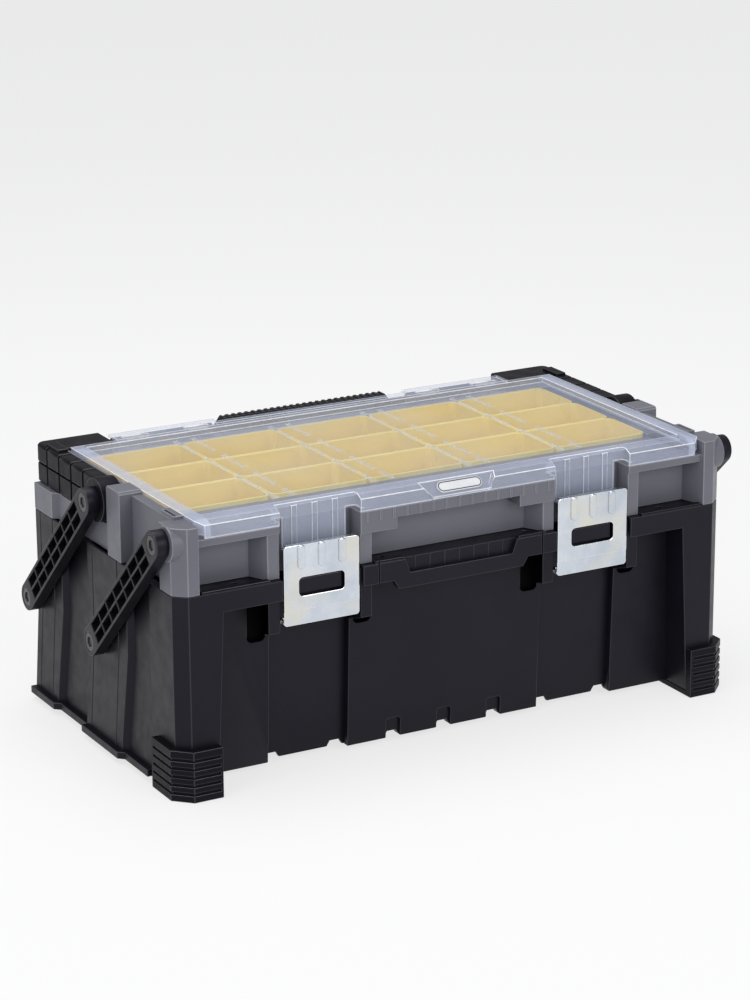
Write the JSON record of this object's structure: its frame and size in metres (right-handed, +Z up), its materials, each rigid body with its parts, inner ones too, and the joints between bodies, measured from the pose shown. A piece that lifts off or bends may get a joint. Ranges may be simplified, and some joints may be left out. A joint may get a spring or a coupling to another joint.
{
  "type": "folding toolbox",
  "caption": "Folding toolbox: a black tub with metal latches, a grey organiser tray on link arms, a clear hinged lid over yellow bins, and a bail handle.",
  "frame": {"origin": "middle of the bounding box, on the plane that the feet stand on", "axes": "+X to the right of someone facing the latches, +Y away from them to the back, +Z up"},
  "size_m": [0.57, 0.31, 0.2425],
  "materials": {
    "black_plastic": "satin moulded, lightly grained",
    "grey_tray": "satin moulded",
    "clear_lid": "milky clear moulded",
    "yellow_bins": "smooth moulded",
    "zinc_latch": "bright zinc plated sheet",
    "steel_rod": "drawn",
    "black_grip": "ribbed satin",
    "silver_badge": "smooth silvered"
  },
  "bodies": {
    "base": {"base_tub": "black_plastic", "tub_floor": "black_plastic", "front_rim_lip": "black_plastic", "corner_foot_left": "black_plastic", "corner_foot_right": "black_plastic", "rear_foot_left": "black_plastic", "rear_foot_right": "black_plastic", "lower_pivot_pins": "black_plastic", "latch_pin_left": "steel_rod", "latch_pin_right": "steel_rod"},
    "arm_front_left": {"arm_front_left": "black_plastic"},
    "arm_front_right": {"arm_front_right": "black_plastic"},
    "arm_rear_left": {"arm_rear_left": "black_plastic"},
    "arm_rear_right": {"arm_rear_right": "black_plastic"},
    "tray": {"tray_body": "grey_tray", "tray_front_lip": "grey_tray", "tray_side_lip_left": "grey_tray", "tray_side_lip_right": "grey_tray", "upper_front_pins": "black_plastic", "upper_rear_pins": "black_plastic", "lid_hinge_rod_left": "steel_rod", "lid_hinge_rod_right": "steel_rod", "bin_front_1": "yellow_bins", "bin_front_2": "yellow_bins", "bin_front_3": "yellow_bins", "bin_front_4": "yellow_bins", "bin_front_5": "yellow_bins", "bin_middle_1": "yellow_bins", "bin_middle_2": "yellow_bins", "bin_middle_3": "yellow_bins", "bin_middle_4": "yellow_bins", "bin_middle_5": "yellow_bins", "bin_rear_1": "yellow_bins", "bin_rear_2": "yellow_bins", "bin_rear_3": "yellow_bins", "bin_rear_4": "yellow_bins", "bin_rear_5": "yellow_bins"},
    "lid": {"lid": "clear_lid", "lid_hinge_plate": "clear_lid", "lid_badge": "silver_badge"},
    "handle": {"handle_bail": "black_plastic", "handle_grip": "black_grip"},
    "latch_left": {"latch_plate_left": "zinc_latch"},
    "latch_right": {"latch_plate_right": "zinc_latch"}
  },
  "joints": [
    {"name": "tray_fold", "type": "hinge", "parent": "base", "child": "arm_rear_right", "pos_m": [0.2795, 0.1425, 0.098], "axis": [-1, 0, 0], "range_deg": [0, 80]},
    {"name": "tray_level", "type": "hinge", "parent": "arm_rear_right", "child": "tray", "pos_m": [0.2795, 0.01, 0.223], "axis": [-1, 0, 0], "range_deg": [-80, 0]},
    {"name": "arm_rear_left_fold", "type": "hinge", "parent": "base", "child": "arm_rear_left", "pos_m": [-0.2795, 0.1425, 0.098], "axis": [-1, 0, 0], "range_deg": [0, 80]},
    {"name": "arm_front_right_fold", "type": "hinge", "parent": "base", "child": "arm_front_right", "pos_m": [0.2795, 0.0045, 0.098], "axis": [-1, 0, 0], "range_deg": [0, 80]},
    {"name": "arm_front_left_fold", "type": "hinge", "parent": "base", "child": "arm_front_left", "pos_m": [-0.2795, 0.0045, 0.098], "axis": [-1, 0, 0], "range_deg": [0, 80]},
    {"name": "lid_hinge", "type": "hinge", "parent": "tray", "child": "lid", "pos_m": [0, 0.131, 0.2345], "axis": [-1, 0, 0], "range_deg": [0, 100]},
    {"name": "handle_hinge", "type": "hinge", "parent": "tray", "child": "handle", "pos_m": [0, 0.01, 0.223], "axis": [1, 0, 0], "range_deg": [0, 90]},
    {"name": "latch_left_hinge", "type": "hinge", "parent": "base", "child": "latch_left", "pos_m": [-0.135, -0.1385, 0.14], "axis": [1, 0, 0], "range_deg": [0, 120]},
    {"name": "latch_right_hinge", "type": "hinge", "parent": "base", "child": "latch_right", "pos_m": [0.135, -0.1385, 0.14], "axis": [1, 0, 0], "range_deg": [0, 120]}
  ],
  "couplings": [
    {"joint": "tray_level", "follows": "tray_fold", "ratio": -1},
    {"joint": "arm_rear_left_fold", "follows": "tray_fold", "ratio": 1},
    {"joint": "arm_front_right_fold", "follows": "tray_fold", "ratio": 1},
    {"joint": "arm_front_left_fold", "follows": "tray_fold", "ratio": 1}
  ]
}
